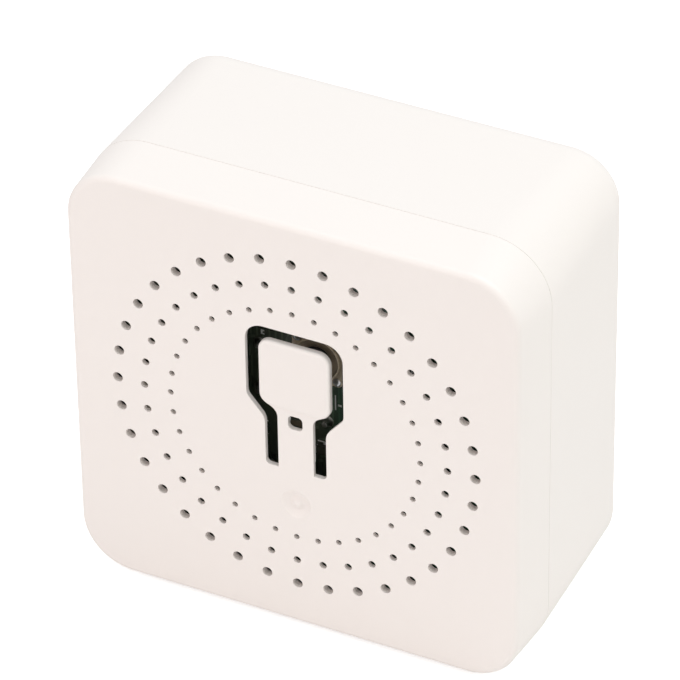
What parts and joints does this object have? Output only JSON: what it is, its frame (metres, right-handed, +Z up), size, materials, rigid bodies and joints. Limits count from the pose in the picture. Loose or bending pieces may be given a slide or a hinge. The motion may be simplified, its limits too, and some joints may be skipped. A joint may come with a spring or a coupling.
{
  "type": "smart relay module",
  "caption": "Small square mains relay module in a snapped plastic case, with vent rings, a push pad on a flexible neck and screw terminals.",
  "frame": {"origin": "under the middle of the case, at the lowest point of its bottom side", "axes": "+Z up as the module stands in the picture, -Y out of the front face with the push pad, +X to the right seen from the front"},
  "size_m": [0.045, 0.023, 0.045],
  "materials": {
    "case_plastic": "fine satin moulding",
    "board": "solder mask",
    "dark_plastic": "moulded",
    "tinned_steel": "tin plated",
    "led_resin": "clear resin",
    "terminal_plastic": "moulded",
    "brass": "nickel flashed",
    "relay_plastic": "moulded",
    "copper": "enamelled wire",
    "capacitor_sleeve": "shrunk sleeve",
    "ferrite": "sintered",
    "varistor_coat": "dipped epoxy",
    "yellow_plastic": "moulded",
    "resistor_coat": "cement coat",
    "chip_ceramic": "fired ceramic",
    "solder": "reflowed solder",
    "screw_steel": "zinc plated"
  },
  "bodies": {
    "housing": {"front_cover": "case_plastic", "rear_case": "case_plastic", "main_board": "board", "radio_board": "board", "switch_base": "dark_plastic", "switch_plate": "tinned_steel", "indicator_led": "led_resin", "terminal_block": "terminal_plastic", "contact_strips": "brass", "relay_base": "relay_plastic", "relay_cover": "relay_plastic", "relay_core": "tinned_steel", "relay_bobbin": "dark_plastic", "relay_winding": "copper", "relay_coil_pins": "tinned_steel", "relay_fixed_contact": "brass", "bulk_capacitors": "capacitor_sleeve", "output_capacitor": "capacitor_sleeve", "choke_core": "ferrite", "choke_winding": "copper", "surge_varistor": "varistor_coat", "x_capacitor": "yellow_plastic", "fuse_resistor": "resistor_coat", "bridge_rectifier": "dark_plastic", "converter_ic": "dark_plastic", "radio_chip": "dark_plastic", "radio_shield": "tinned_steel", "front_passives": "chip_ceramic", "solder_joints": "solder"},
    "button": {"button_tongue": "case_plastic"},
    "plunger": {"switch_plunger": "dark_plastic"},
    "armature": {"relay_armature": "tinned_steel", "relay_moving_contact": "brass"},
    "screw_1": {"terminal_screw_1": "screw_steel"},
    "cage_1": {"terminal_cage_1": "brass"},
    "screw_2": {"terminal_screw_2": "screw_steel"},
    "cage_2": {"terminal_cage_2": "brass"},
    "screw_3": {"terminal_screw_3": "screw_steel"},
    "cage_3": {"terminal_cage_3": "brass"},
    "screw_4": {"terminal_screw_4": "screw_steel"},
    "cage_4": {"terminal_cage_4": "brass"},
    "screw_5": {"terminal_screw_5": "screw_steel"},
    "cage_5": {"terminal_cage_5": "brass"}
  },
  "joints": [
    {"name": "pad_press", "type": "hinge", "parent": "housing", "child": "button", "pos_m": [0, -0.0109, 0.0179], "axis": [-1, 0, 0], "range_deg": [0, 1.3], "stiffness_Nm_per_rad": 1},
    {"name": "plunger_travel", "type": "slide", "parent": "housing", "child": "plunger", "axis": [0, 1, 0], "range_m": [0, 0.000245]},
    {"name": "armature_pull", "type": "hinge", "parent": "housing", "child": "armature", "pos_m": [-0.00331, 0.00665, 0.03539], "axis": [0, 0, -1], "range_deg": [0, 3.2], "stiffness_Nm_per_rad": 0.05},
    {"name": "screw_1_turn", "type": "hinge", "parent": "housing", "child": "screw_1", "pos_m": [-0.015, 0.00665, 0.00579], "axis": [0, -1, 0], "range_deg": [0, 1440]},
    {"name": "cage_1_lift", "type": "slide", "parent": "housing", "child": "cage_1", "axis": [0, 1, 0], "range_m": [0, 0.002]},
    {"name": "screw_2_turn", "type": "hinge", "parent": "housing", "child": "screw_2", "pos_m": [-0.0075, 0.00665, 0.00579], "axis": [0, -1, 0], "range_deg": [0, 1440]},
    {"name": "cage_2_lift", "type": "slide", "parent": "housing", "child": "cage_2", "axis": [0, 1, 0], "range_m": [0, 0.002]},
    {"name": "screw_3_turn", "type": "hinge", "parent": "housing", "child": "screw_3", "pos_m": [0, 0.00665, 0.00579], "axis": [0, -1, 0], "range_deg": [0, 1440]},
    {"name": "cage_3_lift", "type": "slide", "parent": "housing", "child": "cage_3", "axis": [0, 1, 0], "range_m": [0, 0.002]},
    {"name": "screw_4_turn", "type": "hinge", "parent": "housing", "child": "screw_4", "pos_m": [0.0075, 0.00665, 0.00579], "axis": [0, -1, 0], "range_deg": [0, 1440]},
    {"name": "cage_4_lift", "type": "slide", "parent": "housing", "child": "cage_4", "axis": [0, 1, 0], "range_m": [0, 0.002]},
    {"name": "screw_5_turn", "type": "hinge", "parent": "housing", "child": "screw_5", "pos_m": [0.015, 0.00665, 0.00579], "axis": [0, -1, 0], "range_deg": [0, 1440]},
    {"name": "cage_5_lift", "type": "slide", "parent": "housing", "child": "cage_5", "axis": [0, 1, 0], "range_m": [0, 0.002]}
  ],
  "couplings": [
    {"joint": "pad_press", "follows": "plunger_travel", "rad_per_m": 92.592},
    {"joint": "screw_1_turn", "follows": "cage_1_lift", "rad_per_m": 12566},
    {"joint": "screw_2_turn", "follows": "cage_2_lift", "rad_per_m": 12566},
    {"joint": "screw_3_turn", "follows": "cage_3_lift", "rad_per_m": 12566},
    {"joint": "screw_4_turn", "follows": "cage_4_lift", "rad_per_m": 12566},
    {"joint": "screw_5_turn", "follows": "cage_5_lift", "rad_per_m": 12566}
  ]
}
